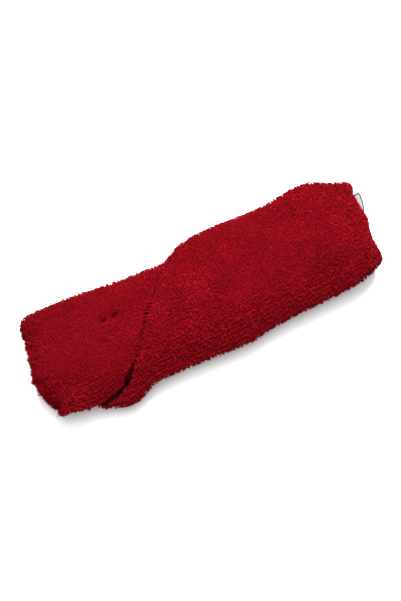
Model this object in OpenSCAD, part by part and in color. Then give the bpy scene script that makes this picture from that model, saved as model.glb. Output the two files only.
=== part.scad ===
// Terry sports headband, lying flat: one endless sleeve of towelling over a loop of wide elastic.
// +X runs along the band, +Y across it and +Z up. The underside of the back run is at Z = 0.
// The back run lies on the table, the front run lies over it, and a fold joins them at each end.
// Right of a slanting lap seam the front run is a wider sleeve, whose mouth takes in the left end.

/* [Loop] */
// Length of the folded band, without the label
band_length = 185; // [165:1:200]
// Clear height between the back run and the front run
loop_gap = 5.2; // [4.8:0.1:8]
// Shift of the whole band to the left, which centres it together with the label
band_shift = -1.5; // [-3:0.5:0]

/* [Towelling] */
// Width of the back run
back_width = 56; // [50:1:62]
// Thickness of the back run and of both folds
run_thickness = 6; // [5.5:0.1:7]
// Width of the front run left of the lap seam
left_width = 53; // [48:1:56]
// Width of the front run right of the lap seam
right_width = 62; // [58:1:62]
// Thickness of the front run right of the lap seam
right_thickness = 8.4; // [8.2:0.1:9]
// Width of the fold at the right-hand end
right_fold_width = 46; // [42:1:54]
// Length of each stretch beside a fold that bends when the loop opens
bend_length = 24; // [16:1:26]

/* [Lap seam] */
// Place along the band where the mouth's edge crosses the centre line
lap_x = -26.5; // [-34:0.5:-18]
// Angle between the mouth's edge and the band
lap_angle = 51; // [42:1:60]
// Length of the end that is tucked into the mouth
tuck_length = 14; // [8:1:18]
// Width of the tucked end
tuck_width = 50; // [44:1:50]
// Thickness of the tucked end, which the seam presses flat
tuck_thickness = 4.4; // [4:0.1:4.6]
// Radius of the rounded lip of the mouth's lower layer, at the open corner
lip_radius = 10; // [8:0.5:12]

/* [Elastic] */
// Width of the elastic
elastic_width = 40; // [30:1:44]
// Thickness of the elastic
elastic_thickness = 1; // [0.8:0.1:1.2]
// Height of the pocket that holds the elastic
pocket_height = 2.4; // [2.2:0.1:2.6]
// Length over which the elastic's two ends overlap
elastic_overlap = 12; // [8:1:20]

/* [Thread] */
// Radius of the sewing thread
thread_r = 0.4; // [0.3:0.05:0.45]
// Distance from one stitch of the closing seam to the next
seam_pitch = 3; // [2.5:0.5:5]

/* [Label] */
// Width of the folded ribbon
label_width = 10; // [8:1:14]
// How far the ribbon stands out of the fold
label_reach = 3; // [3:0.5:6]
// Where the middle of the ribbon lies across the band
label_y = 15.5; // [8:0.5:16]

/* [Hidden] */

$fn = 48;
clear = 0.3;                                  // air between pieces that move apart
cut = 1;                                      // how far a cutter runs past the surface that it cuts

terry_red = [0.58, 0.04, 0.08];
elastic_red = [0.42, 0.05, 0.07];
thread_red = [0.5, 0.03, 0.06];
label_white = [0.92, 0.92, 0.9];

// Heights
right_low = run_thickness + loop_gap;         // underside of the wide part of the front run
front_mid = right_low + right_thickness / 2;  // middle of the front run
back_mid = run_thickness / 2;                 // middle of the back run
fold_mid = (front_mid + back_mid) / 2;        // height of each fold's axis
fold_mean_r = (front_mid - back_mid) / 2;
fold_outer_r = fold_mean_r + run_thickness / 2;
fold_inner_r = fold_mean_r - run_thickness / 2;
left_low = front_mid - run_thickness / 2;     // underside of the narrow part of the front run
right_top = right_low + right_thickness;

// Places along the band
left_end = band_shift - band_length / 2;
right_end = band_shift + band_length / 2;
left_fold_x = left_end + fold_outer_r;
right_fold_x = right_end - fold_outer_r;
left_bend_x = left_fold_x + bend_length;
right_bend_x = right_fold_x - bend_length;

// Places across the band
left_y = -1;                                  // the narrow part lies a little to the -Y side
right_y = 2;                                  // the wide part lies a little to the +Y side
right_fold_y = 2;
right_bend_width = (right_width + right_fold_width) / 2;
right_bend_y = (right_y + right_fold_y) / 2;
front_half = 33;                              // half of the width over the lip and the wide part

// Lap seam
mouth_width = tuck_width + 4.4;
mouth_span = 80;                              // reaches past the mouth along the band, both ways
mouth_height = tuck_thickness + 0.6;
inner_height = right_thickness - 4;           // pocket of the wide part, past the tucked end
narrow_seam_end = lap_x - 8;                  // the closing seam stops short of the mouth's edge
wide_seam_start = lap_x + 4;
lip_thickness = 1.1;
lip_x = -50;
notch_r = 6;                                  // where the left part's corner stands open
notch_x = -49;
stitch_line = 5;                              // from the mouth's edge to the row of stitches
groove_depth = 0.9;
groove_width = 3;
lap_groove_span = 43;                         // how far the lap seam's groove runs across the band
lap_stitch_length = 3;
lap_stitch_pitch = 4.5;
lap_stitch_count = 11;

// Elastic ends, one on the other
overlap_x = 8;
join_rows = [overlap_x + 0.25 * elastic_overlap, overlap_x + 0.75 * elastic_overlap];
join_count = 12;

// Label
label_thickness = 1;
ribbon_thickness = 0.3;
label_root = 0.8;                             // from the fold to the ribbon's free part
tab_in = 2.2;                                 // from the fold's surface to the tab's inner end
label_stitch_angle = 16;
label_stitch_count = 4;
label_stitch_length = 1.8;
label_stitch_pitch = 2.6;

// A flat sleeve's solid, with round edges, along X from x1 to x2, about the line y, z.
module flat_bar(x1, x2, y, z, width, thickness) {
    translate([x1, y, z])
        rotate([90, 0, 90])
        linear_extrude(x2 - x1)
        round_slot(width, thickness);
}

// A slot shape in a plane, width by thickness, with semicircular ends.
module round_slot(width, thickness) {
    reach = (width - thickness) / 2;
    square([2 * reach, thickness], center = true);
    translate([-reach, 0]) circle(thickness / 2);
    translate([reach, 0]) circle(thickness / 2);
}

// A plain strip along X from x1 to x2.
module strip(x1, x2, y, z, width, thickness) {
    translate([x1, y - width / 2, z - thickness / 2])
        cube([x2 - x1, width, thickness]);
}

// A half turn about an axis along Y at x, opening towards +X, or towards -X if mirrored.
module half_turn(x, y, mirrored) {
    translate([x, y, fold_mid])
        mirror([mirrored ? 1 : 0, 0, 0])
        rotate([90, 0, 0])
        rotate([0, 0, -90])
        rotate_extrude(angle = 180)
        children();
}

// Everything on the right of a line parallel to the mouth's edge and offset from it.
module right_of_lap(offset_x) {
    far = 400;
    translate([lap_x + offset_x, 0, -far / 2])
        rotate([0, 0, lap_angle - 90])
        translate([0, -far, 0])
        cube([far, 2 * far, far]);
}

// Folds and bends of the towelling and of the elastic
module fold_cover(x, y, width, mirrored) {
    difference() {
        half_turn(x, y, mirrored)
            translate([fold_mean_r, 0]) rotate(90) round_slot(width, run_thickness);
        half_turn(x, y, mirrored)
            translate([fold_mean_r, 0])
            square([pocket_height, elastic_width + 2], center = true);
        half_turn(x, y, mirrored)
            translate([fold_inner_r, 0])
            square([2 * groove_depth, groove_width], center = true);
    }
}

module fold_elastic(x, y, mirrored) {
    half_turn(x, y, mirrored)
        translate([fold_mean_r, 0])
        square([elastic_thickness, elastic_width], center = true);
}

module bend_cover(x1, x2, y, width) {
    difference() {
        flat_bar(x1, x2, y, front_mid, width, run_thickness);
        strip(x1 - cut, x2 + cut, y, front_mid, elastic_width + 2, pocket_height);
    }
}

// One stitch: a short thread along the X axis, turned about Z.
module stitch(length, turn) {
    rotate([0, 0, turn])
        rotate([0, 90, 0])
        cylinder(r = thread_r, h = length, center = true, $fn = 16);
}

// A zigzag row along X from x1 to x2.
module zigzag(x1, x2, y, z) {
    count = floor((x2 - x1) / seam_pitch);
    for (i = [0:count - 1])
        translate([x1 + (i + 0.5) * seam_pitch, y, z])
            stitch(2.4, i % 2 == 0 ? 60 : -60);
}

// Stitches around the inside of a fold
module fold_zigzag(x, y, mirrored) {
    turns = 5;
    for (i = [0:turns - 1])
        translate([x, y, fold_mid])
            mirror([mirrored ? 1 : 0, 0, 0])
            rotate([0, 30 * (i - (turns - 1) / 2), 0])
            translate([fold_inner_r + groove_depth - thread_r, 0, 0])
            rotate([i % 2 == 0 ? 30 : -30, 0, 0])
            rotate([90, 0, 0])
            cylinder(r = thread_r, h = 1.8, center = true, $fn = 16);
}

module back_cover() {
    color(terry_red) difference() {
        flat_bar(left_fold_x, right_fold_x, 0, back_mid, back_width, run_thickness);
        strip(left_end, right_end, 0, back_mid, elastic_width + 2, pocket_height);
        strip(left_end, right_end, 0, run_thickness, groove_width, 2 * groove_depth);
    }
}

module left_fold_cover() {
    color(terry_red) fold_cover(left_fold_x, left_y, left_width, true);
}

module right_fold_cover() {
    color(terry_red) difference() {
        fold_cover(right_fold_x, right_fold_y, right_fold_width, false);
        strip(right_end - tab_in, right_end + cut, label_y, fold_mid,
            label_width + 0.4, label_thickness + 0.4);
    }
}

module left_bend_cover() {
    color(terry_red) bend_cover(left_fold_x, left_bend_x - clear, left_y, left_width);
}

module right_bend_cover() {
    color(terry_red)
        bend_cover(right_bend_x + clear, right_fold_x, right_bend_y, right_bend_width);
}

// The narrow sleeve, the flattened end in the mouth, and the corner that stands open
module front_left_cover() {
    color(terry_red) difference() {
        union() {
            difference() {
                flat_bar(left_bend_x, mouth_span, left_y, front_mid, left_width, run_thickness);
                right_of_lap(-clear);
            }
            difference() {
                flat_bar(left_bend_x, mouth_span, 0, front_mid, tuck_width, tuck_thickness);
                right_of_lap(tuck_length);
            }
        }
        strip(left_bend_x - cut, mouth_span, 0, front_mid, elastic_width + 2, pocket_height);
        strip(left_bend_x - cut, narrow_seam_end, 0, left_low, groove_width, 2 * groove_depth);
        translate([notch_x, left_y - left_width / 2, left_low - cut])
            cylinder(r = notch_r, h = run_thickness + 2 * cut);
    }
}

// The wide sleeve with its mouth, and the lip of the mouth's lower layer
module front_right_cover() {
    color(terry_red) difference() {
        union() {
            intersection() {
                flat_bar(-mouth_span, right_bend_x, right_y, front_mid, right_width,
                    right_thickness);
                right_of_lap(0);
            }
            translate([lip_x, lip_radius - front_half, right_low])
                cylinder(r = lip_radius, h = lip_thickness);
        }
        difference() {
            strip(-mouth_span, mouth_span, 0, front_mid, mouth_width, mouth_height);
            right_of_lap(tuck_length + 2);
        }
        intersection() {
            strip(-mouth_span, right_bend_x + cut, 0, front_mid, elastic_width + 6, inner_height);
            right_of_lap(tuck_length);
        }
        strip(-mouth_span, right_bend_x + cut, 0, right_low, groove_width, 2 * groove_depth);
        intersection() {
            strip(-mouth_span, mouth_span, 0, right_top, lap_groove_span, 2 * groove_depth);
            difference() {
                right_of_lap(stitch_line - 1);
                right_of_lap(stitch_line + 1);
            }
        }
    }
}

module back_elastic() {
    color(elastic_red)
        strip(left_fold_x, right_fold_x, 0, back_mid, elastic_width, elastic_thickness);
}

module left_fold_elastic() {
    color(elastic_red) fold_elastic(left_fold_x, 0, true);
}

module right_fold_elastic() {
    color(elastic_red) fold_elastic(right_fold_x, right_fold_y, false);
}

module left_bend_elastic() {
    color(elastic_red)
        strip(left_fold_x, left_bend_x - clear, 0, front_mid, elastic_width, elastic_thickness);
}

module right_bend_elastic() {
    color(elastic_red)
        strip(right_bend_x + clear, right_fold_x, right_bend_y, front_mid,
            elastic_width, elastic_thickness);
}

module front_left_elastic() {
    color(elastic_red)
        strip(left_bend_x, overlap_x + elastic_overlap, 0, front_mid + elastic_thickness / 2,
            elastic_width, elastic_thickness);
}

module front_right_elastic() {
    color(elastic_red)
        strip(overlap_x, right_bend_x, 0, front_mid - elastic_thickness / 2,
            elastic_width, elastic_thickness);
}

module elastic_join_stitches() {
    color(thread_red)
        for (x = join_rows, i = [0:join_count - 1])
            translate([x, seam_pitch * (i - (join_count - 1) / 2),
                front_mid + elastic_thickness + thread_r])
                stitch(3, i % 2 == 0 ? 50 : -50);
}

module back_closing_seam() {
    color(thread_red) {
        zigzag(left_fold_x, right_fold_x, 0, run_thickness - groove_depth + thread_r);
        fold_zigzag(left_fold_x, left_y, true);
        fold_zigzag(right_fold_x, right_fold_y, false);
    }
}

module front_closing_seam() {
    color(thread_red) {
        zigzag(left_bend_x, narrow_seam_end, 0, left_low + groove_depth - thread_r);
        zigzag(wide_seam_start, right_bend_x, 0, right_low + groove_depth - thread_r);
    }
}

// A row of stitches in a groove along the mouth's edge
module lap_stitches() {
    middle = (lap_stitch_count - 1) / 2;
    color(thread_red)
        translate([lap_x + stitch_line, 0, right_top - groove_depth + thread_r])
        rotate([0, 0, lap_angle])
        for (i = [0:lap_stitch_count - 1])
            translate([lap_stitch_pitch * (i - middle), 0, 0]) stitch(lap_stitch_length, 0);
}

// The sewn end of the ribbon, caught in the fold
module label_tab() {
    color(label_white)
        strip(right_end - tab_in + 0.2, right_end + 0.1, label_y, fold_mid,
            label_width, label_thickness);
}

// Two rows of stitches on the fold, above and below the ribbon
module label_stitches() {
    color(thread_red)
        for (side = [-1, 1], i = [0:label_stitch_count - 1])
            translate([right_fold_x, label_y, fold_mid])
                rotate([0, side * label_stitch_angle, 0])
                translate([fold_outer_r + thread_r, 0, 0])
                translate([0, label_stitch_pitch * (i - (label_stitch_count - 1) / 2), 0])
                stitch(label_stitch_length, 90);
}

// The free part of the ribbon, folded back on itself
module care_label() {
    root_x = right_end + label_root;
    tip_x = right_end + label_reach - label_thickness / 2;
    color(label_white)
        translate([0, label_y + label_width / 2, 0])
        rotate([90, 0, 0])
        linear_extrude(label_width)
        difference() {
            union() {
                translate([root_x, fold_mid - label_thickness / 2])
                    square([tip_x - root_x, label_thickness]);
                translate([tip_x, fold_mid]) circle(label_thickness / 2);
            }
            translate([root_x - cut, fold_mid - label_thickness / 2 + ribbon_thickness])
                square([tip_x - root_x + cut, label_thickness - 2 * ribbon_thickness]);
        }
}

back_cover();
left_fold_cover();
right_fold_cover();
left_bend_cover();
right_bend_cover();
front_left_cover();
front_right_cover();
back_elastic();
left_fold_elastic();
right_fold_elastic();
left_bend_elastic();
right_bend_elastic();
front_left_elastic();
front_right_elastic();
elastic_join_stitches();
back_closing_seam();
front_closing_seam();
lap_stitches();
label_tab();
label_stitches();
care_label();
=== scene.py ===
"""A terry sports headband, lying flat: the looks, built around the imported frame.

Lengths inside this script are in millimetres and are turned into metres where a mesh is made.
The band is a closed sleeve. A section of it is a ring of points: first its +Y edge, then the side
that faces out of the loop, its -Y edge, and the side that faces the head. "Narrow" is the part of the
front run left of the slanting seam, and "wide" is the part right of it, which ends in the mouth.
"""

import math

import bpy
import numpy as np
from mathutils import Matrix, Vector


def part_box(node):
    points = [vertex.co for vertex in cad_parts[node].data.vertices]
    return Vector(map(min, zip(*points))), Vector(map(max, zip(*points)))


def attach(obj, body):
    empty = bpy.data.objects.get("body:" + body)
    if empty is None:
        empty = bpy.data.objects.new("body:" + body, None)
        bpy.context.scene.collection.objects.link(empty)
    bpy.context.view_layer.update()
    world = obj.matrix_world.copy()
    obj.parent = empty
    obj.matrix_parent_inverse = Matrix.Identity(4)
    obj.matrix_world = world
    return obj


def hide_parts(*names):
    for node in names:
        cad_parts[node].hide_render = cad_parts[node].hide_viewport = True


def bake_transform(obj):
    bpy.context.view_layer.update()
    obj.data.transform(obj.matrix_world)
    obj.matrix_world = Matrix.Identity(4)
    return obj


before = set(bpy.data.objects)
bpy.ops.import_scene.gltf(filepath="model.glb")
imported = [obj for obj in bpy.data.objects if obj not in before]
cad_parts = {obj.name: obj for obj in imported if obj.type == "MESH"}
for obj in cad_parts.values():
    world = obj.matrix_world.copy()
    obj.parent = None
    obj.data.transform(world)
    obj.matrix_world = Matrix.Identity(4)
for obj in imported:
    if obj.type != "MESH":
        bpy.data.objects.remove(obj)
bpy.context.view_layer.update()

MM = 0.001
rng = np.random.default_rng(11)


# ---------------------------------------------------------------- sizes, from the frame


def box_mm(node):
    low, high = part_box(node)
    return np.array(low) / MM, np.array(high) / MM


back_low, back_high = box_mm("back_cover")
narrow_low, narrow_high = box_mm("front_left_cover")
label_low, label_high = box_mm("care_label")
tab_low, tab_high = box_mm("label_tab")
elastic_low, elastic_high = box_mm("back_elastic")
overlap_x = box_mm("front_right_elastic")[0][0]
overlap_end = box_mm("front_left_elastic")[1][0]

LEFT_X = back_low[0]
RIGHT_X = back_high[0]
BACK_Z = (back_low[2] + back_high[2]) / 2
FRONT_Z = (narrow_low[2] + narrow_high[2]) / 2
FOLD_Z = (BACK_Z + FRONT_Z) / 2
FOLD_R = (FRONT_Z - BACK_Z) / 2
SPLIT_X = 4.0  # where the mouth's piece meets the rest of the wide part
MOUTH_SEAM_X = -30  # where the closing seam starts under the mouth

# Two x positions for each half of the front run, handed to lift()
LIFT_LEFT = (LEFT_X + 1.0, -30.0)
LIFT_RIGHT = (RIGHT_X - 1.0, 25.0)


# ---------------------------------------------------------------- shape of the cloth


def outline(*points, blur=4.0):
    """A smooth function of x through (x, y) points."""
    step = 0.5
    xs = np.arange(-140, 140 + step, step)
    ys = np.interp(xs, [p[0] for p in points], [p[1] for p in points])
    window = np.hanning(int(2 * blur / step) + 3)
    padded = np.pad(ys, len(window) // 2, mode="edge")
    ys = np.convolve(padded, window / window.sum(), mode="valid")
    return lambda x: np.interp(x, xs, ys)


# Edges of the ground cloth, without its pile, as y at each x
narrow_top = outline((-90, 27.6), (-58, 27.4), (-46, 26), (-20, 24.9), (-9, 24.7))
narrow_bottom = outline(
    (-90, -24.2), (-80, -27.6), (-66, -27.4), (-57, -24.8), (-51, -22), (-46, -19.6), (-30, -18.4), blur=3.0
)
wide_top = outline(
    (-30, 23), (-11, 24.9), (-5, 28.4), (2, 30.8), (10, 31.7), (23, 31.9), (38, 31.1), (52, 32),
    (65, 34.3), (72, 33.3), (84, 27.2), (92, 24.6), blur=3.0,
)
wide_bottom = outline(
    (-72, -28), (-67, -31.2), (-61, -31.4), (-56, -33.4), (-50, -32.9), (-44, -29.8), (-38, -27.4),
    (-12, -27.8), (14, -28.4), (24, -26.2), (40, -24.9), (60, -24.3), (78, -23.4), (84, -20), (92, -16.8),
    blur=2.5,
)
back_top = outline((-90, 25), (-60, 26), (60, 26), (92, 24.6))
back_bottom = outline((-90, -23), (-60, -25), (20, -25), (45, -22), (75, -20.8), (92, -16.6))

# How far the cloth stands out of the sleeve's middle, on the outer side and on the head's side
narrow_rise = outline((-86, 2.3), (-70, 3.2), (-50, 3.0), (-30, 2.6), (-10, 2.2))
narrow_drop = outline((-86, 2.0), (-50, 2.0), (-36, 1.0), (-10, 0.6))
wide_rise = outline((-60, 3.9), (-20, 4.3), (30, 4.6), (60, 4.2), (82, 2.2))
wide_drop = outline((-60, 4.4), (10, 3.2), (60, 2.6), (82, 2.0))
elastic_bottom = outline((-92, -18.5), (-80, -20), (50, -20), (76, -16), (92, -12))
BACK_RISE = 1.7
BACK_DROP = 2.4
BARE_STRIP = 1.8  # of the narrow part, next to the mouth's edge
TUCKED_RISE = 0.3  # of the end inside the mouth
CROWN = 1.6  # how far the outer side falls away 30 mm from its ridge
RIDGE_Y = 8
SLUMP = 5.4  # how far the front run's -Y edge sinks towards the back run
DIP_REACH = 3.4  # how far before the mouth's edge the narrow part starts to dip

END_START, END_LENGTH = 22, 24  # where the pull of each end begins, and how far it takes to grow
FRONT_DROP = 2.0  # of the front run where it meets the folds
# Each fold: how far its +Y and -Y corners are drawn in, and the spacing and height of its bumps
LEFT_END = {"shoulder": 0.0, "corner": 0.8, "uneven": (6, 0.5)}
RIGHT_END = {"shoulder": 1.4, "corner": 3.0, "uneven": (13, 0.3)}

# Nicks in the narrow part's pile: x, y and radius
NICKS = ((-44.7, 9.4, 2.0), (-51.2, 9.4, 1.9), (-54.2, -0.6, 1.0))

LABEL_SLANT = 1.9  # how much less the label stands out at its -Y edge
LABEL_EXTRA = 1.3  # how far its crease stands past its CAD node
CREASE_SHADE_REACH = 0.8  # how much of it next to the crease gets the same painted shade line as its edges

# The mouth's edge, as x at each y: the outer layer first, then the layer on the head's side
mouth_outer = outline(
    (-36, -54), (-31, -53.5), (-27.5, -52.4), (-24.5, -49.6), (-20, -46), (-16.7, -43.3), (-10.9, -38.1),
    (-1.2, -31.7), (5.8, -25.3), (16.8, -16.2), (23.9, -6.6), (27, -4), blur=1.5,
)
mouth_inner = outline(
    (-36, -60), (-33, -66.5), (-30.5, -70), (-27, -69), (-20, -62), (0, -42), (25, -12), blur=1.5
)

# How far in each end is drawn at each y: the left end is bowed, the right end is square
left_pull = outline(
    (-28, 1.0), (-25, 1.6), (-22, 4.6), (-18, 3.0), (-14, 2.2), (-10, 0.4), (-6, 1.0), (-2, 0.6), (2, 2.4),
    (6, 1.8), (10, 2.5), (18, 4.3), (23, 4.4), (26, 4.4), blur=1.2,
)
right_pull = outline(
    (-24, 6.0), (-22, 4.0), (-19, 0), (-15, -0.8), (-10, -0.5), (-5, 0.5), (1, -0.2), (6, -1.6), (10, -1.6),
    (18, -0.6), (21, -0.9), (23, -2.4), (25.5, -3.4), (28, -1.8), blur=1.0,
)


def soft_section(count, power=2.5):
    """Evenly spaced points round a flat section with soft edges, as (across, out) from -1 to 1."""
    turn = np.linspace(0, 2 * math.pi, 4001)
    across = np.sign(np.cos(turn)) * np.abs(np.cos(turn)) ** (2 / power)
    out = np.sign(np.sin(turn)) * np.abs(np.sin(turn)) ** (2 / power)
    step = np.hypot(np.diff(across * 28), np.diff(out * 3.4))
    along = np.concatenate([[0], np.cumsum(step)])
    even = np.linspace(0, along[-1], count, endpoint=False)
    return np.interp(even, along, across), np.interp(even, along, out)


AROUND = 112
ACROSS, OUT = soft_section(AROUND)


def ripple(x, y, seed, size, height):
    """Smooth random height, with hills about size apart."""
    waves = np.random.default_rng(seed)
    total = np.zeros(np.broadcast(x, y).shape)
    for _ in range(7):
        turn = waves.uniform(0, math.pi)
        length = size * waves.uniform(0.7, 1.6)
        phase = waves.uniform(0, 2 * math.pi)
        total += np.sin((x * math.cos(turn) + y * math.sin(turn)) * 2 * math.pi / length + phase)
    return height * total / math.sqrt(7)


def ease(t):
    """0 to 1 as t goes from 0 to 1, with soft ends."""
    t = np.clip(t, 0, 1)
    return t * t * (3 - 2 * t)


def section_y(high, low):
    """y of each section point, between a +Y edge at high and a -Y edge at low."""
    return (high + low) / 2 + (high - low) / 2 * ACROSS


def dent(x, y, at, radius, depth):
    return -depth * np.exp(-((x - at[0]) ** 2 + (y - at[1]) ** 2) / radius**2)


def end_pull(x, y):
    """How far +X the cloth near either end is drawn."""
    left = ease((LEFT_X + END_START - x) / END_LENGTH)
    right = ease((x - RIGHT_X + END_START) / END_LENGTH)
    return left * left_pull(y) - right * right_pull(y)


def front_grid(x, top, bottom, rise, drop):
    """Points of a front sleeve. x has a row for each station and a column for each section point."""
    y = section_y(top(x), bottom(x))
    out = np.where(OUT > 0, rise(x, y), drop(x)) * OUT
    return np.stack([x + end_pull(x, y), y, FRONT_Z + out - slump(x, y)], -1)


def hills(x, y, seed):
    """The outer side of the front run: highest along a ridge, and gently uneven."""
    crown = CROWN * np.abs((y - RIDGE_Y) / 30) ** 2.6
    return ripple(x, y, seed, 34, 0.45) + ripple(x, y, seed + 1, 15, 0.25) - crown


def slump(x, y):
    """The front run lies lower towards its -Y edge, except near the folds."""
    middle = np.clip((x - LEFT_X) / 13, 0, 1) * np.clip((RIGHT_X - x) / 13, 0, 1)
    return SLUMP * middle * np.clip((6 - y) / 36, 0, None) ** 2.2


def parting(y):
    """How much wider the seam gapes where its strands show, and towards its open corner."""
    strands, corner = np.exp(-(((y - 5.0) / 4.2) ** 2)), np.exp(-(((y + 21.5) / 2.6) ** 2))
    return 2.5 * strands + 1.8 * corner + 2.0 * np.clip((-12 - y) / 5, 0, 1)


def rise_of_narrow(x, y):
    """The narrow part dips before the mouth's edge and stays flat inside the mouth."""
    near = ease(1 - (mouth_outer(y) - x) / (DIP_REACH + parting(y)))
    rise = narrow_rise(x) + hills(x, y, 40)
    for *at, radius in NICKS:
        rise = rise + dent(x, y, at, 1.3 * radius, 1.1 * radius)
    return rise * (1 - near) + TUCKED_RISE * near


def rise_of_wide(x, y):
    """The wide part stands up in a soft roll behind the mouth's edge."""
    behind = (x - mouth_outer(y) - 3.0) / 3.0
    return wide_rise(x) + hills(x, y, 50) + 0.5 * np.exp(-(behind**2))


def fold_grid(at_x, side, turns, top, bottom, rise, seed):
    """Points of the fold at one end. turns goes from 0, at the front run, to pi, at the back run."""
    turns = turns[:, None]
    share = (1 - np.cos(turns)) / 2
    front_high, front_low = top(at_x), bottom(at_x)
    high = front_high + (back_top(at_x) - front_high) * share
    end = RIGHT_END if side > 0 else LEFT_END
    high = high - end["shoulder"] * np.sin(turns)
    low = front_low + (back_bottom(at_x) - front_low) * share + end["corner"] * np.sin(turns)
    y = section_y(high, low)
    rise = rise(at_x, y) * (1 - share) + BACK_RISE * share
    drop = FRONT_DROP * (1 - share) + BACK_DROP * share
    square = np.sign(OUT) * np.abs(OUT) ** (1 - 0.6 * np.sin(turns))
    out = np.where(OUT > 0, rise, drop) * square
    swell = np.sin(turns) * np.clip(OUT, 0, 1)
    out = out + swell * ripple(y, turns * 8, seed, *end["uneven"])
    radius = FOLD_R + out
    x = at_x + side * radius * np.sin(turns)
    z = FOLD_Z + radius * np.cos(turns)
    return np.stack([x + end_pull(x, y), y, z], -1)


def back_grid(x):
    x = np.repeat(x[:, None], AROUND, 1)
    y = section_y(back_top(x), back_bottom(x))
    z = BACK_Z - np.where(OUT > 0, BACK_RISE, BACK_DROP) * OUT + np.zeros_like(x)
    return np.stack([x + end_pull(x, y), y, z], -1)


def normals(grid):
    """Unit normals that point out of the sleeve."""
    along = np.gradient(grid, axis=0)
    wrapped = np.concatenate([grid[:, -1:], grid, grid[:, :1]], 1)
    around = (wrapped[:, 2:] - wrapped[:, :-2]) / 2
    normal = np.cross(along, around)
    normal /= np.maximum(np.linalg.norm(normal, axis=-1, keepdims=True), 1e-9)
    outward = grid - grid.mean(1, keepdims=True)
    return normal if (normal * outward).sum() > 0 else -normal


# ---------------------------------------------------------------- meshes


PLAIN_TINT = 0.5  # of plain cloth. 0 is the darkest
FLOOR_GAP = 0.03  # between the lowest yarn and the floor


class Parts:
    """Collects the parts of one mesh: points, faces, and what the materials read at each point."""

    def __init__(self):
        self.points, self.faces, self.slots, self.yarn, self.tint = [], [], [], [], []
        self.count = 0

    def add(self, points, faces, slot, yarn=None, tint=None):
        points = points.reshape(-1, 3)
        self.points.append(points)
        for face in faces:
            self.faces.append(face + self.count)
            self.slots.append(np.full(len(face), slot))
        self.yarn.append(np.zeros((len(points), 3)) if yarn is None else yarn.reshape(-1, 3))
        self.tint.append(np.full(len(points), PLAIN_TINT) if tint is None else tint.reshape(-1))
        self.count += len(points)

    def mesh(self, name, materials):
        points = np.concatenate(self.points)
        points[:, 2] = np.maximum(points[:, 2], FLOOR_GAP)
        mesh = bpy.data.meshes.new(name)
        corners = np.concatenate([f.reshape(-1) for f in self.faces])
        sizes = np.concatenate([np.full(len(f), f.shape[1]) for f in self.faces])
        starts = np.concatenate([[0], np.cumsum(sizes)[:-1]])
        mesh.vertices.add(len(points))
        mesh.vertices.foreach_set("co", (points * MM).astype(np.float32).ravel())
        mesh.loops.add(len(corners))
        mesh.loops.foreach_set("vertex_index", corners.astype(np.int32))
        mesh.polygons.add(len(sizes))
        mesh.polygons.foreach_set("loop_start", starts.astype(np.int32))
        mesh.polygons.foreach_set("loop_total", sizes.astype(np.int32))
        mesh.polygons.foreach_set("material_index", np.concatenate(self.slots).astype(np.int32))
        mesh.polygons.foreach_set("use_smooth", np.ones(len(sizes), bool))
        mesh.update(calc_edges=True)
        yarn = mesh.attributes.new("yarn", "FLOAT_VECTOR", "POINT")
        yarn.data.foreach_set("vector", np.concatenate(self.yarn).astype(np.float32).ravel())
        tint = mesh.attributes.new("tint", "FLOAT", "POINT")
        tint.data.foreach_set("value", np.concatenate(self.tint).astype(np.float32))
        for material in materials:
            mesh.materials.append(material)
        piece = bpy.data.objects.new(name, mesh)
        bpy.context.scene.collection.objects.link(piece)
        return piece


def tube_faces(rows, columns):
    """Quads of a tube with rows of columns points each, closed round its rows."""
    row, column = np.meshgrid(np.arange(rows - 1), np.arange(columns), indexing="ij")
    after = (column + 1) % columns
    quads = [row * columns + column, row * columns + after]
    quads += [(row + 1) * columns + after, (row + 1) * columns + column]
    return np.stack(quads, -1).reshape(-1, 4)


def fan_faces(hub, ring, flip):
    after = np.roll(ring, -1)
    fan = np.stack([np.full(len(ring), hub), after, ring], -1)
    return fan[:, ::-1] if flip else fan


def add_tube(parts, grid, slot, yarn=None, tint=None):
    """A tube through a grid of rings, with its two ends closed by fans."""
    rows, columns = grid.shape[:2]
    hub = rows * columns
    first = np.arange(columns)
    fans = [fan_faces(hub, first, False), fan_faces(hub + 1, hub - columns + first, True)]
    points = np.concatenate([grid.reshape(-1, 3), np.array([grid[0].mean(0), grid[-1].mean(0)])])
    if yarn is not None:
        yarn = np.concatenate([yarn.reshape(-1, 3), np.zeros((2, 3))])
    if tint is not None:
        tint = np.concatenate([tint.reshape(-1), np.zeros(2)])
    parts.add(points, [tube_faces(rows, columns)] + fans, slot, yarn, tint)


def cloth_coordinates(grid):
    """Distance along and around the cloth, in mm, for the ground's knit."""
    along = np.linalg.norm(np.diff(grid, axis=0), axis=-1)
    along = np.concatenate([np.zeros((1, grid.shape[1])), np.cumsum(along, 0)])
    around = np.linalg.norm(np.roll(grid, -1, 1) - grid, axis=-1)
    around = np.cumsum(around, 1)
    return np.stack([along, around, np.zeros_like(along)], -1)


# ---------------------------------------------------------------- pile


JITTER = (0.36, 0.3)  # of a loop's place, along the cloth and round it, in pitches


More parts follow.
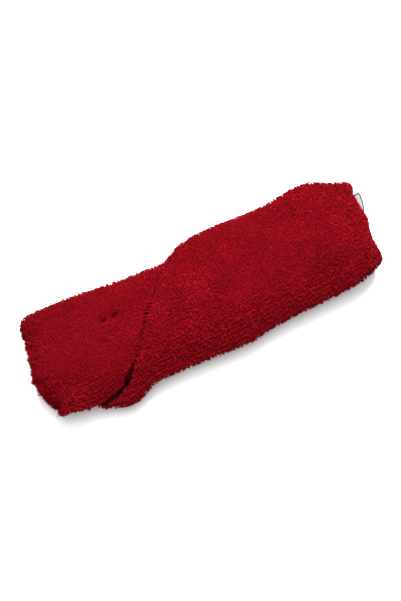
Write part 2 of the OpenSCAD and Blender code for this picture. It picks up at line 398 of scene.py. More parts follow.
class Surface:
    """A grid of rings that can be read between its points. heading is -1 where its rings run to -X."""

    def __init__(self, grid, normal=None, heading=1):
        self.grid, self.heading = grid, heading
        self.normal = normals(grid) if normal is None else normal
        self.rows, self.columns = grid.shape[:2]

    def read(self, values, u, k):
        row = np.clip(u * (self.rows - 1), 0, self.rows - 1.001)
        column = k * self.columns
        r0, c0 = np.floor(row).astype(int), np.floor(column).astype(int)
        fr, fc = (row - r0)[:, None], (column - c0)[:, None]
        c0, c1 = c0 % self.columns, (c0 + 1) % self.columns
        upper = values[r0, c0] * (1 - fc) + values[r0, c1] * fc
        lower = values[r0 + 1, c0] * (1 - fc) + values[r0 + 1, c1] * fc
        return upper * (1 - fr) + lower * fr

    def scatter(self, pitch, row_pitch):
        """Points in uneven rows, about one in each pitch x row_pitch of cloth, as (u, k)."""
        lengths = np.linalg.norm(np.diff(self.grid, axis=0), axis=-1).sum(0)
        around = np.linalg.norm(np.roll(self.grid, -1, 1) - self.grid, axis=-1).sum(1).max()
        count_u = max(int(lengths.max() / pitch), 2)
        count_k = max(int(around / row_pitch), 8)
        u, k = np.meshgrid(np.arange(count_u), np.arange(count_k), indexing="ij")
        # every other row is shifted, and it is the other half of them where the rings run to -X, so
        # that two pieces meet evenly
        shifted = (k + (self.heading < 0)) % 2
        u = u + 0.5 * shifted + rng.uniform(-JITTER[0], JITTER[0], u.shape)
        k = k + rng.uniform(-JITTER[1], JITTER[1], k.shape)
        k = (k / count_k).ravel() % 1
        length = np.interp(k, np.arange(self.columns + 1) / self.columns, np.append(lengths, lengths[0]))
        du = lengths.max() / count_u / length
        u = (u.ravel() + 0.25) * du
        inside = (u > -0.3 * du) & (u < 1 + 0.3 * du)
        u, k, du = u[inside], k[inside], du[inside] / 2
        # where the rows run closer together, fewer loops are kept
        dk = 0.5 / count_k
        step_u = self.read(self.grid, u + du, k) - self.read(self.grid, u - du, k)
        step_k = self.read(self.grid, u, k + dk) - self.read(self.grid, u, k - dk)
        cell = np.linalg.norm(np.cross(step_u, step_k), axis=-1)
        keep = rng.uniform(0, 1, len(u)) < cell / (pitch * row_pitch) * 1.15
        return u[keep], k[keep]


def unit(vectors):
    return vectors / np.maximum(np.linalg.norm(vectors, axis=-1, keepdims=True), 1e-9)


def painted_light_share(point):
    """How much of the brighter yarn shows: less at the lower right corner, the +Y edge and the left end, as
    painted shade.
    """
    x, y = point[:, 0], point[:, 1]
    corner = np.clip((x - 34) / 20, 0, 1) * np.clip((4 - y) / 10, 0, 1)
    edge = np.clip((y - 12) / 10, 0, 1)
    left = np.clip((-50 - x) / 15, 0, 1)
    return np.clip(1 - 0.9 * corner - 0.5 * edge - 0.35 * left, 0, 1)


RING_AT = (0.2, 0.5, 0.8)
RING_SIZE = (0.85, 1.1, 0.85)
SIDES = 3


def add_loops(parts, surface, u, k, slot, size=1.0, shag=0.0, flat=0.0):
    """A closed arch of yarn at each (u, k). shag makes them longer and wilder, flat presses them."""
    count = len(u)
    if count == 0:
        return
    base = surface.read(surface.grid, u, k)
    up = unit(surface.read(surface.normal, u, k))
    along = surface.read(surface.grid, u + 0.004, k) - surface.read(surface.grid, u - 0.004, k)
    along = unit(along - up * (along * up).sum(-1, keepdims=True)) * surface.heading
    across = np.cross(up, along)
    size, shag, flat = (np.broadcast_to(v, count) for v in (size, shag, flat))

    swirl = ripple(base[:, 0], base[:, 1], 5, 26, 1.0)
    turn = 1.1 + 0.7 * swirl + rng.normal(0, 0.6 + 0.8 * shag, count)
    foot = along * np.cos(turn)[:, None] + across * np.sin(turn)[:, None]
    side = np.cross(up, foot)
    span = size * rng.uniform(1.0, 1.7, count) * (1 + 0.5 * shag)
    height = size * rng.uniform(0.75, 1.15, count) * (1 + 0.9 * shag) * (1 - 0.5 * flat)
    nap = np.clip(0.3 + 0.4 * ripple(base[:, 0], base[:, 1], 6, 17, 1.0), -0.2, 0.7)
    lean = size * (rng.normal(nap, 0.3) + shag * rng.normal(0, 1.2, count))
    thick = size * rng.uniform(0.3, 0.38, count)

    rise = up * height[:, None] + side * lean[:, None]
    plane_up = unit(rise)
    plane_side = np.cross(foot, plane_up)
    sunk = base - up * 0.4

    def centre(t):
        arch = math.sin(math.pi * t) ** 0.8
        return sunk + foot * (span * (t - 0.5))[:, None] + rise * arch + up * 0.4 * arch

    rings, yarn = [], []
    for t, ring_size in zip(RING_AT, RING_SIZE):
        heading = unit(centre(t + 0.03) - centre(t - 0.03))
        lift = unit(np.cross(plane_side, heading))
        for corner in range(SIDES):
            spin = 2 * math.pi * (corner + 0.5) / SIDES
            offset = plane_side * math.cos(spin) + lift * math.sin(spin)
            rings.append(centre(t) + offset * (thick * ring_size)[:, None])
            yarn.append((t, corner / SIDES, 1.0))
    rings += [centre(0.0), centre(1.0)]
    yarn += [(0.0, 0.5, 1.0), (1.0, 0.5, 1.0)]
    points = np.stack(rings, 1)
    each = points.shape[1]

    quads = tube_faces(len(RING_AT), SIDES)
    first = fan_faces(each - 2, np.arange(SIDES), False)
    last = fan_faces(each - 1, (len(RING_AT) - 1) * SIDES + np.arange(SIDES), True)
    offsets = (np.arange(count) * each)[:, None, None]
    faces = [(f[None] + offsets).reshape(-1, f.shape[1]) for f in (quads, first, last)]
    yarn = np.broadcast_to(np.array(yarn), (count, each, 3))
    # painted shade: each loop's random tint is lowered at the corner and edges that are meant to look less
    # lit
    tint = np.repeat(rng.uniform(0, 1, count) * painted_light_share(base), each)
    parts.add(points, faces, slot, yarn, tint)


def side_of(k):
    """The section's out value at k: positive on the side that faces out of the loop."""
    return np.interp(k % 1, np.arange(AROUND + 1) / AROUND, np.append(OUT, OUT[0]))


FINE_PITCH = (0.98, 0.8)  # between the loops, along the cloth and from row to row
COARSE_PITCH = (1.5, 1.3)
SPARSE_PITCH = (2.0, 1.9)
COARSE_SIZE = 1.2
SPARSE_SIZE = 1.35
ROWS_AROUND = 62  # rows of loops that show at the -Y edge, all round the section
SEAM_HALF = 2.2  # half-width of the bare strip that the closing seam runs in


def in_rows(point, k, out):
    """Towards the front run's -Y edge the loops stand in rows, with gaps between them."""
    near = np.clip((-8 - point[:, 1]) / 9, 0, 1) * (out > -0.2) * (point[:, 2] > FOLD_Z)
    gap = np.clip(0.4 - np.cos(2 * math.pi * ROWS_AROUND * k), 0, 1)
    return rng.uniform(0, 1, len(k)) > near * gap


def add_pile(parts, surface, slot, keep=None, fine=True, shag=None, flat=None):
    """Close pile on the outer side, and sparser pile on the side that faces the head."""
    outer_pitch, outer_size = (FINE_PITCH, 1.0) if fine else (COARSE_PITCH, COARSE_SIZE)
    for pitch, size, outer in ((outer_pitch, outer_size, True), (SPARSE_PITCH, SPARSE_SIZE, False)):
        u, k = surface.scatter(*pitch)
        out = side_of(k)
        chosen = out > -0.8 if outer else out <= -0.8
        point = surface.read(surface.grid, u, k)
        if outer:
            chosen &= in_rows(point, k, out)
        else:
            chosen &= np.abs(point[:, 1]) > SEAM_HALF
        if keep is not None:
            chosen &= keep(point, out)
        u, k, point, out = u[chosen], k[chosen], point[chosen], out[chosen]
        wild = 0.0 if shag is None else shag(point, out)
        pressed = (0.0 if outer else 0.5) if flat is None else flat(point, out)
        add_loops(parts, surface, u, k, slot, size, wild, pressed)


# ---------------------------------------------------------------- materials


def new_material(name, colour, roughness=0.9, sheen=0.0, sheen_tint=(1, 1, 1), specular=0.2):
    material = bpy.data.materials.new(name)
    material.use_nodes = True
    nodes, links = material.node_tree.nodes, material.node_tree.links
    shader = nodes["Principled BSDF"]
    shader.inputs["Base Color"].default_value = (*colour, 1)
    shader.inputs["Roughness"].default_value = roughness
    shader.inputs["Specular IOR Level"].default_value = specular
    shader.inputs["Sheen Weight"].default_value = sheen
    shader.inputs["Sheen Roughness"].default_value = 0.4
    shader.inputs["Sheen Tint"].default_value = (*sheen_tint, 1)
    return material, nodes, links, shader


def add_node(nodes, kind, **settings):
    node = nodes.new(kind)
    for name, value in settings.items():
        if name in node.inputs:
            node.inputs[name].default_value = value
        else:
            setattr(node, name, value)
    return node


def mix_colours(nodes, links, factor, first, second):
    """A colour mix. factor, first and second are sockets or values."""
    mix = nodes.new("ShaderNodeMix")
    mix.data_type = "RGBA"
    for index, value in ((0, factor), (6, first), (7, second)):
        if hasattr(value, "is_output"):
            links.new(value, mix.inputs[index])
        elif index == 0:
            mix.inputs[index].default_value = value
        else:
            mix.inputs[index].default_value = (*value, 1)
    return mix.outputs[2]


def remap(nodes, links, value, low, high, to_low, to_high):
    node = nodes.new("ShaderNodeMapRange")
    links.new(value, node.inputs["Value"])
    for name, number in zip(("From Min", "From Max", "To Min", "To Max"), (low, high, to_low, to_high)):
        node.inputs[name].default_value = number
    return node.outputs["Result"]


def attribute(nodes, name, socket):
    node = nodes.new("ShaderNodeAttribute")
    node.attribute_name = name
    return node.outputs[socket]


def noise(nodes, links, scale, detail):
    node = add_node(nodes, "ShaderNodeTexNoise", Scale=scale, Detail=detail)
    links.new(nodes.new("ShaderNodeTexCoord").outputs["Object"], node.inputs["Vector"])
    return node.outputs["Fac"]


def finish_cloth(nodes, links, shader, shade, relief, roughness, depth):
    """Links the colour, and lets roughness and bump follow the relief. roughness is at 0 and at 1."""
    links.new(shade, shader.inputs["Base Color"])
    links.new(remap(nodes, links, relief, 0, 1, *roughness), shader.inputs["Roughness"])
    node = add_node(nodes, "ShaderNodeBump", Distance=depth)
    links.new(relief, node.inputs["Height"])
    links.new(node.outputs["Normal"], shader.inputs["Normal"])


DEEP_RED = (0.26, 0.0013, 0.0070)
BRIGHT_RED = (0.41, 0.0021, 0.0125)
# ROOT_RED: the dark red of the knit ground and of dark fibres, also used as painted shade at each loop's
# foot and between the loops
ROOT_RED = (0.115, 0.0006, 0.0032)
# a near-black red, painted as shade in the seam's groove, the nicks, the turned lining and towards the -Y
# edge
PAINTED_SHADE_RED = (0.022, 0.0002, 0.0008)


def pile_material():
    """Cotton loops: each yarn has its own shade, with painted shade at its foot and over some corners and
    edges, and shows its twist.
    """
    material, nodes, links, shader = new_material(
        "terry_pile", BRIGHT_RED, 0.9, sheen=0.03, sheen_tint=(1.0, 0.12, 0.2), specular=0.03
    )
    tint = attribute(nodes, "tint", "Fac")
    yarn = attribute(nodes, "yarn", "Vector")
    split = nodes.new("ShaderNodeSeparateXYZ")
    links.new(yarn, split.inputs[0])
    shade = mix_colours(nodes, links, tint, DEEP_RED, BRIGHT_RED)
    patches = remap(nodes, links, noise(nodes, links, 60.0, 3.0), 0.3, 0.7, 0.0, 0.22)
    shade = mix_colours(nodes, links, patches, shade, DEEP_RED)
    fibres = remap(nodes, links, noise(nodes, links, 2600.0, 2.0), 0.35, 0.75, 0.0, 0.35)
    shade = mix_colours(nodes, links, fibres, shade, ROOT_RED)
    # painted shade: 0 at each foot and 1 at the top of the loop, and the feet take the dark root red
    arch = add_node(nodes, "ShaderNodeMath", operation="PINGPONG")
    arch.inputs[1].default_value = 0.5
    links.new(split.outputs["X"], arch.inputs[0])
    top = remap(nodes, links, arch.outputs[0], 0.02, 0.3, 0.0, 1.0)
    shade = mix_colours(nodes, links, top, ROOT_RED, shade)

    twist = nodes.new("ShaderNodeCombineXYZ")
    slant = add_node(nodes, "ShaderNodeMath", operation="MULTIPLY_ADD")
    slant.inputs[1].default_value = 9.0
    links.new(split.outputs["X"], slant.inputs[0])
    links.new(split.outputs["Y"], slant.inputs[2])
    links.new(slant.outputs[0], twist.inputs["X"])
    wave = add_node(nodes, "ShaderNodeTexWave", Scale=1.0, Distortion=0.6)
    links.new(twist.outputs[0], wave.inputs["Vector"])
    finish_cloth(nodes, links, shader, shade, wave.outputs["Fac"], (0.95, 0.75), 0.00016)
    return material


def ground_material():
    """The knitted ground between the loops: dark, partly as painted shade between the loops, with fine
    wales.
    """
    material, nodes, links, shader = new_material("terry_ground", ROOT_RED, 0.95, specular=0.04)
    wale = add_node(nodes, "ShaderNodeTexWave", Scale=0.35, Distortion=1.5, Detail=2.0)
    links.new(attribute(nodes, "yarn", "Vector"), wale.inputs["Vector"])
    shade = mix_colours(nodes, links, wale.outputs["Fac"], ROOT_RED, DEEP_RED)
    # painted shade: the lower the tint below 0.5, the nearer the ground is to a near-black red; the tint is
    # 0 deep in the seam
    deep = remap(nodes, links, attribute(nodes, "tint", "Fac"), 0.0, 0.5, 1.0, 0.0)
    shade = mix_colours(nodes, links, deep, shade, PAINTED_SHADE_RED)
    finish_cloth(nodes, links, shader, shade, wale.outputs["Fac"], (1.0, 0.85), 0.0003)
    return material


def thread_material():
    """Twisted polyester thread, with a slight shine."""
    material, nodes, links, shader = new_material("sewing_thread", DEEP_RED, 0.85, specular=0.02)
    wave = add_node(nodes, "ShaderNodeTexWave", Scale=900.0, Distortion=1.0, bands_direction="DIAGONAL")
    links.new(nodes.new("ShaderNodeTexCoord").outputs["Object"], wave.inputs["Vector"])
    shade = mix_colours(nodes, links, wave.outputs["Fac"], ROOT_RED, DEEP_RED)
    finish_cloth(nodes, links, shader, shade, wave.outputs["Fac"], (0.9, 0.7), 0.0001)
    return material


def elastic_material():
    """Woven elastic: covered rubber cords side by side, crossed by a fine weft."""
    material, nodes, links, shader = new_material("woven_elastic", (0.2, 0.006, 0.014), 0.7)
    coordinates = nodes.new("ShaderNodeTexCoord").outputs["Object"]
    weft = add_node(nodes, "ShaderNodeTexWave", Scale=420.0, Distortion=0.8)
    links.new(coordinates, weft.inputs["Vector"])
    worn = remap(nodes, links, noise(nodes, links, 180.0, 3.0), 0.35, 0.7, 0.0, 0.5)
    shade = mix_colours(nodes, links, weft.outputs["Fac"], (0.12, 0.003, 0.008), (0.27, 0.008, 0.018))
    shade = mix_colours(nodes, links, worn, shade, (0.16, 0.004, 0.01))
    finish_cloth(nodes, links, shader, shade, weft.outputs["Fac"], (0.85, 0.6), 0.00015)
    return material


def satin_material():
    """White satin ribbon: long floating threads across a fine ground, with a painted shade line along its
    edges and at its crease.
    """
    material, nodes, links, shader = new_material("satin_label", (0.19, 0.165, 0.165), 0.6, specular=0.08)
    coordinates = nodes.new("ShaderNodeTexCoord").outputs["Object"]
    floats = add_node(nodes, "ShaderNodeTexWave", Scale=700.0, Distortion=0.4, bands_direction="Y")
    links.new(coordinates, floats.inputs["Vector"])
    worn = remap(nodes, links, noise(nodes, links, 260.0, 3.0), 0.3, 0.75, 0.0, 1.0)
    shade = mix_colours(nodes, links, worn, (0.20, 0.174, 0.174), (0.17, 0.148, 0.148))
    fine = remap(nodes, links, floats.outputs["Fac"], 0, 1, 0.0, 0.25)
    shade = mix_colours(nodes, links, fine, shade, (0.145, 0.126, 0.126))
    # painted shade: the tint is 0 along the edges and at the crease, which turn near black
    edge = remap(nodes, links, attribute(nodes, "tint", "Fac"), 0.0, 0.5, 1.0, 0.0)
    shade = mix_colours(nodes, links, edge, shade, (0.035, 0.03, 0.03))
    finish_cloth(nodes, links, shader, shade, floats.outputs["Fac"], (0.5, 0.7), 0.00006)
    return material


def floor_material():
    material, nodes, links, shader = new_material("white_floor", (0.93, 0.93, 0.93), 0.9, specular=0.1)
    grain = remap(nodes, links, noise(nodes, links, 3.0, 2.0), 0.3, 0.7, 0.0, 1.0)
    shade = mix_colours(nodes, links, grain, (0.93, 0.93, 0.93), (0.915, 0.915, 0.915))
    links.new(shade, shader.inputs["Base Color"])
    return material


PILE, GROUND = pile_material(), ground_material()
THREAD, ELASTIC, SATIN = thread_material(), elastic_material(), satin_material()


# ---------------------------------------------------------------- towelling


def ground_painted_shade(grid):
    """Plain on most of the ground, and darker towards the -Y edge as painted shade between the rows of
    loops.
    """
    return PLAIN_TINT - 0.22 * np.clip((-9 - grid[..., 1]) / 12, 0, 1)


def towelling(name, grid, tint=1.0, heading=1, **pile):
    """One stretch of closed sleeve: ground cloth and its pile."""
    parts = Parts()
    add_tube(parts, grid, 1, yarn=cloth_coordinates(grid), tint=ground_painted_shade(grid) * tint)
    add_pile(parts, Surface(grid, heading=heading), 0, **pile)
    return parts.mesh(name, [PILE, GROUND])


def rows_between(start, end, step):
    return np.linspace(start, end, max(int(abs(end - start) / step), 2) + 1)


def clear_of_mouth(point, out):
    """False next to the mouth's edge, inside the mouth and in the nicks."""
    edge = np.where(out > 0, mouth_outer(point[:, 1]), mouth_inner(point[:, 1]))
    uneven = ripple(point[:, 1], 0 * point[:, 1], 7, 9, 0.5) + ripple(point[:, 1], point[:, 0], 8, 3, 0.4)
    bare = BARE_STRIP + parting(point[:, 1]) + uneven
    keep = point[:, 0] < edge - bare
    for x, y, radius in NICKS:
        away = np.hypot(point[:, 0] - x, point[:, 1] - y) / radius
        keep &= (out < 0) | (away > rng.uniform(0.4, 1.2, len(away)))
    return keep


def clear_of_label(point, out):
    """False where the label leaves the fold."""
    beside = (point[:, 1] > label_low[1] - 0.6) & (point[:, 1] < label_high[1] + 0.6)
    return ~(beside & (out > 0) & (np.abs(point[:, 2] - FOLD_Z) < 2.4))


def left_end_shag(point, out):
    """Long loops in uneven tufts, on the outer side of the left end."""
    near = np.clip((LEFT_X + 2 - point[:, 0]) / 8, 0, 1)
    tufts = np.clip(0.7 + 0.7 * ripple(point[:, 1], point[:, 2], 31, 4, 1.0), 0.1, 1.4)
    return near * tufts * (out > -0.3)


def floor_press(point, out):
    """Full on pile within 1 mm of the floor, and none above 2.6 mm."""
    return np.clip((2.6 - point[:, 2]) / 1.6, 0, 1)


def make_back():
    grid = back_grid(rows_between(LEFT_X, RIGHT_X, 3.0))
    piece = towelling("towelling_back", grid, fine=False, flat=floor_press)
    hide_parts("back_cover")
    return piece


def make_fold(name, node, at_x, side, top, bottom, rise, **pile):
    grid = fold_grid(at_x, side, np.linspace(0, math.pi, 19), top, bottom, rise, 20 + side)
    piece = towelling(name, grid, heading=side, **pile)
    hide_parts(node)
    return piece


def narrow_grid():
    """The narrow part of the front run, with its last tuck mm inside the mouth."""
    tuck = 14
    x = np.repeat(rows_between(LEFT_X, 0, 1.2)[:, None], AROUND, 1)
    share = (x - LEFT_X) / (0 - LEFT_X)
    # each row's x depends on its y and the other way round, so both are settled step by step
    for _ in range(12):
        y = section_y(narrow_top(x), narrow_bottom(x))
        x = LEFT_X + share * (mouth_outer(y) + tuck - LEFT_X)
    return front_grid(x, narrow_top, narrow_bottom, rise_of_narrow, narrow_drop)


def make_narrow():
    grid = narrow_grid()
    x, y = grid[..., 0], grid[..., 1]
    # painted shade: the ground's tint falls to 0 in the groove before the mouth's edge and in the nicks
    tint = np.clip((mouth_outer(y) - parting(y) - x - 1.5) / 1.2, 0, 1)
    for nick_x, nick_y, radius in NICKS:
        tint = tint * np.clip(np.hypot(x - nick_x, y - nick_y) / (1.4 * radius), 0, 1)
    piece = towelling("towelling_front_left", grid, tint, keep=clear_of_mouth, shag=left_end_shag)
    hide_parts("left_bend_cover", "front_left_cover")
    return piece


def mouth_share(k):
    """0 on the mouth's outer layer and 1 on its inner layer, with a quick change at the -Y edge."""
    return ease((k - 0.485) / 0.045)


def mouth_grid(rows):
    """From the split to the mouth's edge, which lies at its own x at each point of the section."""
    k = np.arange(AROUND) / AROUND
    inner = mouth_share(k)
    edge = np.full(AROUND, -30.0)
    for _ in range(40):
        y = section_y(wide_top(edge), wide_bottom(edge))
        goal = mouth_outer(y) * (1 - inner) + mouth_inner(y) * inner
        edge = 0.6 * edge + 0.4 * goal
    share = np.linspace(0, 1, rows)[:, None]
    x = SPLIT_X + share * (edge - SPLIT_X)
    return front_grid(x, wide_top, wide_bottom, rise_of_wide, wide_drop)


LIP_ROWS = 20  # rows of the mouth's lining, counted from its rim
LIP_END_X = -46  # where the open corner stops showing it


def make_mouth():
    """The mouth: its outer face, its turned rim and its lining."""
    outer = mouth_grid(44)
    normal = normals(outer)
    cloth = 1.7  # its thickness
    ahead = unit(outer[-1] - outer[-2])
    rim = [
        outer[-1] - normal[-1] * cloth * (1 - math.cos(a)) / 2 + ahead * cloth / 2 * math.sin(a)
        for a in (0.25 * math.pi, 0.5 * math.pi, 0.75 * math.pi)
    ]
    inner = (outer - normal * cloth)[::-1][:LIP_ROWS]
    shell = np.concatenate([outer, np.array(rim), inner])
    parts = Parts()
    tint = ground_painted_shade(shell)
    # painted shade: the rim and lining are darker, and darkest beside the narrow part towards the -Y edge
    turned = shell[len(outer):]
    shade_beside_narrow = np.clip((turned[..., 1] - narrow_bottom(turned[..., 0]) + 3.0) / 1.2, 0, 1)
    tint[len(outer):] *= 0.6 * (1 - shade_beside_narrow * np.clip(-turned[..., 1] / 6, 0, 1))
    add_tube(parts, shell, 1, yarn=cloth_coordinates(shell), tint=tint)
    add_pile(parts, Surface(outer, normal, -1), 0)
    edge = Surface(np.concatenate([outer[-2:], np.array(rim), inner[:1]]), heading=-1)
    u, k = edge.scatter(0.9, 0.8)
    add_loops(parts, edge, u, k, 0, 0.8, flat=0.4)
    # the lip: the inside of the lower layer, where the open corner shows it
    lining = Surface(inner, -normal[::-1][:LIP_ROWS])
    u, k = lining.scatter(*FINE_PITCH)
    point = lining.read(lining.grid, u, k)
    past_narrow = point[:, 1] < narrow_bottom(point[:, 0]) - 2.3
    shown = (side_of(k) < 0.2) & past_narrow & (point[:, 0] < LIP_END_X)
    add_loops(parts, lining, u[shown], k[shown], 0)
    piece = parts.mesh("towelling_mouth", [PILE, GROUND])
    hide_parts("front_right_cover")
    return piece


def wide_grid(start, end, step):
    x = np.repeat(rows_between(start, end, step)[:, None], AROUND, 1)
    return front_grid(x, wide_top, wide_bottom, rise_of_wide, wide_drop)


def make_wide():
    piece = towelling("towelling_front_right", wide_grid(SPLIT_X, RIGHT_X, 2.0))
    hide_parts("right_bend_cover")
    return piece


# ---------------------------------------------------------------- elastic, seams and label


def path_stations(kind):
    """Middle line of the elastic and the direction out of the loop: front halves, or the back part."""
    if kind == "back":
        turns = np.linspace(0, math.pi, 13)
        left = [(LEFT_X - FOLD_R * math.sin(a), FOLD_Z + FOLD_R * math.cos(a)) for a in turns]
        right = [(RIGHT_X + FOLD_R * math.sin(a), FOLD_Z + FOLD_R * math.cos(a)) for a in turns[::-1]]
        out = [(-math.sin(a), math.cos(a)) for a in turns]
        out += [(math.sin(a), math.cos(a)) for a in turns[::-1]]
        return np.array(left + right), np.array(out)
    if kind == "left":
        x, z = rows_between(LEFT_X, overlap_end, 3), FRONT_Z - 0.5
    else:
        x, z = rows_between(overlap_x, RIGHT_X, 3), FRONT_Z - 1.6
    end = LEFT_X if kind == "left" else RIGHT_X
    near = np.clip(np.abs(x - end) / 20, 0, 1)
    return np.stack([x, FRONT_Z + (z - FRONT_Z) * near], 1), np.tile([0.0, 1.0], (len(x), 1))


def make_elastic(name, kind, nodes):
    """A flat strip with a cord every rib_pitch. Its outline stays inside the sleeve's."""
    line, out = path_stations(kind)
    half = (elastic_high[1] - elastic_low[1]) / 2
    thick = (elastic_high[2] - elastic_low[2]) / 2
    rib_pitch = 1.6
    y = np.linspace(-half, half, 101)
    rib = thick * (0.72 + 0.28 * np.abs(np.cos(math.pi * y / rib_pitch)))
    y = np.concatenate([y, y[::-1]])
    offset = np.concatenate([rib, -rib[::-1]])
    grid = np.zeros((len(line), len(y), 3))
    grid[..., 0] = line[:, None, 0] + out[:, None, 0] * offset
    grid[..., 1] = y
    grid[..., 2] = line[:, None, 1] + out[:, None, 1] * offset
    inside = narrow_bottom(grid[..., 0]) + 4 if kind == "left" else elastic_bottom(grid[..., 0])
    grid[..., 1] = half - (half - y) * np.minimum(half - inside, 2 * half) / (2 * half)
    grid[..., 0] += end_pull(grid[..., 0], grid[..., 1]) * 1.15
    if kind != "back":
        grid[..., 2] -= slump(grid[..., 0], grid[..., 1])
    parts = Parts()
    add_tube(parts, grid, 0)
    piece = parts.mesh(name, [ELASTIC])
    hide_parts(*nodes)
    return piece


def add_thread(parts, points, radius):
    """A round thread through points, closed at its ends."""
    sides = 6
    heading = unit(np.gradient(points, axis=0))
    side = unit(np.cross(heading, (0.0, 0.02, 1.0)))
    lift = np.cross(side, heading)
    spin = 2 * math.pi * np.arange(sides) / sides
    ring = side[:, None] * np.cos(spin)[:, None] + lift[:, None] * np.sin(spin)[:, None]
    add_tube(parts, points[:, None] + ring * radius, 0)


def make_seam(name, grid, u_range, node):
    """The closing seam on the head's side: a zigzag over a straight row, sunk in the bare strip."""
    parts = Parts()
    surface = Surface(grid)
    middle, swing_share = 0.75, 1.25 / 120  # of the way round the section
    stitch = 1.5
    length = np.linalg.norm(np.diff(surface.grid[:, int(middle * AROUND)], axis=0), axis=-1).sum()
    count = int(length * (u_range[1] - u_range[0]) / stitch)
    u = np.linspace(*u_range, count)
    for row in (0, 1):
        swing = swing_share * (np.arange(count) % 2 * 2 - 1) if row else np.zeros(count)
        k = middle + swing
        lift = 0.25 + 0.25 * row
        points = surface.read(surface.grid, u, k) + surface.read(surface.normal, u, k) * lift
        fine = np.linspace(0, count - 1, 3 * count)
        points = np.stack([np.interp(fine, np.arange(count), points[:, i]) for i in range(3)], 1)
        add_thread(parts, points, 0.28)
    piece = parts.mesh(name, [THREAD])
    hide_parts(node)
    return piece


def make_lap_threads():
    """Strands that bridge the lap seam where the pile parts, and the row that holds the mouth."""
    parts = Parts()
    stitch, gap = 2.4, 1.0
    for y in np.arange(1.0, 10.0, 1.3):
        x = float(mouth_outer(y))
        start_x = x - 4.2 + rng.uniform(-0.5, 0.5)
        start = np.array([start_x, y + 1.6 + rng.uniform(-0.4, 0.4), FRONT_Z + 2.2])
        end = np.array([x + 0.9, y - 1.0 + rng.uniform(-0.6, 0.6), FRONT_Z + 4.6])
        t = np.linspace(0, 1, 9)[:, None]
        arc = np.array([0.0, 0.0, 0.9]) * np.sin(math.pi * t)
        add_thread(parts, start + (end - start) * t + arc, rng.uniform(0.24, 0.32))
    for y in np.arange(-16.0, 20.0, stitch + gap):
        ys = np.linspace(y, y + stitch, 7)
        xs = mouth_outer(ys) + 5
        bow = np.sin(np.linspace(0, math.pi, 7)) * 0.5
        add_thread(parts, np.stack([xs, ys, FRONT_Z + 3.2 + bow - slump(xs, ys)], 1), 0.3)
    piece = parts.mesh("lap_seam_thread", [THREAD])
    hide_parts("lap_stitches")
    return piece


def make_label():
    """A ribbon folded back on itself, a little bellied, with a firm woven edge on each side."""
    low_y, high_y = label_low[1], label_high[1]
    middle_z = (label_low[2] + label_high[2]) / 2
    root, tip = tab_high[0] - 0.9, label_high[0] + LABEL_EXTRA
    bend = 0.75
    straight = np.linspace(root, tip - bend, 9)
    turn = np.linspace(math.pi / 2, -math.pi / 2, 11)
    belly = 0.35 * np.sin(math.pi * (straight - root) / (tip - bend - root))
    line_x = np.concatenate([straight, tip - bend + bend * np.cos(turn[1:-1]), straight[::-1]])
    line_z = np.concatenate([bend + belly, bend * np.sin(turn[1:-1]), -(bend + 0.3 * belly)[::-1]])
    line_z = line_z * np.clip((line_x - root) / 2.0, 0.35, 1)
    line = np.stack([line_x, line_z], 1)
    heading = unit(np.gradient(line, axis=0))
    out = np.stack([-heading[:, 1], heading[:, 0]], 1)
    across = np.linspace(0, 1, 15)
    y = low_y + (high_y - low_y) * across
    # the selvedges are thicker than the ribbon between them
    selvedge = 0.13 + 0.07 * (np.abs(across - 0.5) > 0.44)
    y = np.concatenate([y, y[::-1]])
    offset = np.concatenate([selvedge, -selvedge[::-1]])
    curl = 0.35 * np.sin(math.pi * (y - low_y) / (high_y - low_y)) ** 0.5
    grid = np.zeros((len(line), len(y), 3))
    reach = np.clip((line[:, None, 0] - root) / (tip - root), 0, 1)
    slant = LABEL_SLANT * ((high_y - y) / (high_y - low_y)) ** 1.8
    grid[..., 0] = line[:, None, 0] + out[:, None, 0] * offset + reach * ((curl - 0.35) * 1.4 - slant)
    grid[..., 1] = y
    grid[..., 2] = middle_z + line[:, None, 1] + out[:, None, 1] * offset
    # painted shade: a dark line along both edges and next to the crease
    woven = np.abs((y - low_y) / (high_y - low_y) - 0.5) > 0.42
    turned = np.abs(line_x - tip) < CREASE_SHADE_REACH
    tint = np.where(woven[None] | turned[:, None], 0.0, PLAIN_TINT)
    parts = Parts()
    add_tube(parts, grid, 0, tint=tint)
    piece = parts.mesh("satin_care_label", [SATIN])
    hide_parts("care_label")
    return piece


def make_tab():
    """The ribbon's sewn end, inside the fold."""
    parts = Parts()
    across = np.linspace(tab_low[1], tab_high[1], 15)
    half = 0.42
    y = np.concatenate([across, across[::-1]])
    z = np.concatenate([np.full(15, half), np.full(15, -half)]) + (tab_low[2] + tab_high[2]) / 2
    x = np.linspace(tab_low[0], tab_high[0] - 1.0, 5)
    grid = np.stack(np.broadcast_arrays(x[:, None], y, z), -1)
    add_tube(parts, grid, 0)
    piece = parts.mesh("satin_label_tab", [SATIN])
    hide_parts("label_tab")
    return piece


# ---------------------------------------------------------------- putting it together


def lift(piece, ends):
    """Bakes the piece's transform into its mesh; ends is not used."""
    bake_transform(piece)


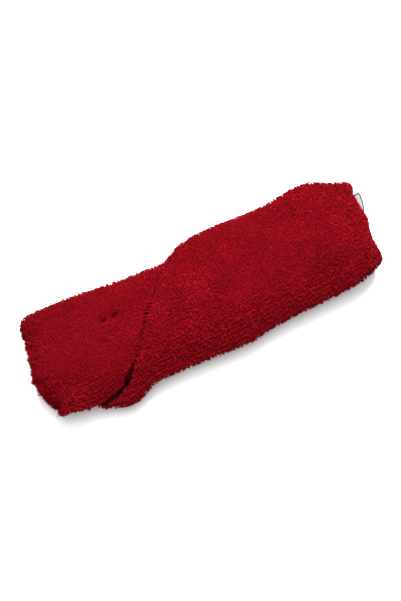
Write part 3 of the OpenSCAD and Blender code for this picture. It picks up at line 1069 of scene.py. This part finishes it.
def build():
    cloth_on_back = [
        make_back(),
        make_fold("towelling_left_fold", "left_fold_cover", LEFT_X, -1, narrow_top, narrow_bottom,
                  rise_of_narrow, shag=left_end_shag),
        make_fold("towelling_right_fold", "right_fold_cover", RIGHT_X, 1, wide_top, wide_bottom,
                  rise_of_wide, keep=clear_of_label),
    ]
    narrow, mouth, wide = make_narrow(), make_mouth(), make_wide()
    for piece in cloth_on_back:
        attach(piece, "back")
    for piece, ends in ((narrow, LIFT_LEFT), (mouth, LIFT_LEFT), (wide, LIFT_RIGHT)):
        lift(piece, ends)

    elastic_back = make_elastic(
        "elastic_back", "back", ("back_elastic", "left_fold_elastic", "right_fold_elastic")
    )
    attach(elastic_back, "back")
    elastic_left = make_elastic("elastic_left", "left", ("left_bend_elastic", "front_left_elastic"))
    lift(elastic_left, LIFT_LEFT)
    elastic_right = make_elastic("elastic_right", "right", ("right_bend_elastic", "front_right_elastic"))
    lift(elastic_right, LIFT_RIGHT)

    back = back_grid(rows_between(LEFT_X, RIGHT_X, 3.0))
    seam_back = make_seam("closing_seam_back", back, (0.01, 0.99), "back_closing_seam")
    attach(seam_back, "back")
    seam_left = make_seam("closing_seam_front_left", narrow_grid(), (0.02, 0.5), "front_closing_seam")
    lift(seam_left, LIFT_LEFT)
    mouth_half = wide_grid(MOUTH_SEAM_X, SPLIT_X, 2.0)
    seam_mouth = make_seam("closing_seam_mouth", mouth_half, (0.03, 0.99), "front_closing_seam")
    lift(seam_mouth, LIFT_LEFT)
    wide_half = wide_grid(SPLIT_X, RIGHT_X, 2.5)
    seam_right = make_seam("closing_seam_front_right", wide_half, (0.01, 0.98), "front_closing_seam")
    lift(seam_right, LIFT_RIGHT)
    lap = make_lap_threads()
    lift(lap, LIFT_LEFT)

    label, tab = make_label(), make_tab()
    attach(label, "label")
    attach(tab, "back")
    for node in ("elastic_join_stitches", "label_stitches"):
        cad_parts[node].data.materials.clear()
        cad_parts[node].data.materials.append(THREAD)


# ---------------------------------------------------------------- camera, floor and light

VIEW_AZIMUTH = math.radians(-24.1)  # about the vertical, from straight in front
VIEW_ELEVATION = math.radians(74)
VIEW_DISTANCE = 1.5  # metres
VIEW_TARGET = (-0.0015, 0.0013, 0.0098)
LENS_MM = 179.7


def aim(thing, target):
    direction = Vector(target) - thing.location
    thing.rotation_euler = direction.to_track_quat("-Z", "Y").to_euler()


def make_camera():
    camera = bpy.data.objects.new("camera", bpy.data.cameras.new("camera"))
    bpy.context.scene.collection.objects.link(camera)
    back = Vector((
        math.sin(VIEW_AZIMUTH) * math.cos(VIEW_ELEVATION),
        -math.cos(VIEW_AZIMUTH) * math.cos(VIEW_ELEVATION),
        math.sin(VIEW_ELEVATION),
    ))
    camera.location = Vector(VIEW_TARGET) + back * VIEW_DISTANCE
    aim(camera, VIEW_TARGET)
    camera.data.lens = LENS_MM
    camera.data.clip_start = 0.01
    bpy.context.scene.camera = camera


def make_light(name, place, size, power):
    light = bpy.data.lights.new(name, "AREA")
    light.shape = "DISK"
    light.size = size
    light.energy = power
    lamp = bpy.data.objects.new(name, light)
    bpy.context.scene.collection.objects.link(lamp)
    lamp.location = place
    aim(lamp, (0, 0, 0))


def make_stage():
    mesh = bpy.data.meshes.new("floor")
    reach = 40.0
    corners = [(-reach, -reach, 0), (reach, -reach, 0), (reach, reach, 0), (-reach, reach, 0)]
    mesh.from_pydata(corners, [], [(0, 1, 2, 3)])
    mesh.materials.append(floor_material())
    floor = bpy.data.objects.new("floor", mesh)
    bpy.context.scene.collection.objects.link(floor)

    make_light("key", (0.40, 0.80, 0.86), 1.1, 83.0)
    make_light("overhead", (-0.1, 0.1, 1.2), 1.2, 12.0)
    world = bpy.data.worlds.new("studio")
    world.use_nodes = True
    world.node_tree.nodes["Background"].inputs["Color"].default_value = (1, 1, 1, 1)
    world.node_tree.nodes["Background"].inputs["Strength"].default_value = 0.72
    bpy.context.scene.world = world
    bpy.context.scene.view_settings.view_transform = "Standard"


make_camera()
make_stage()
build()
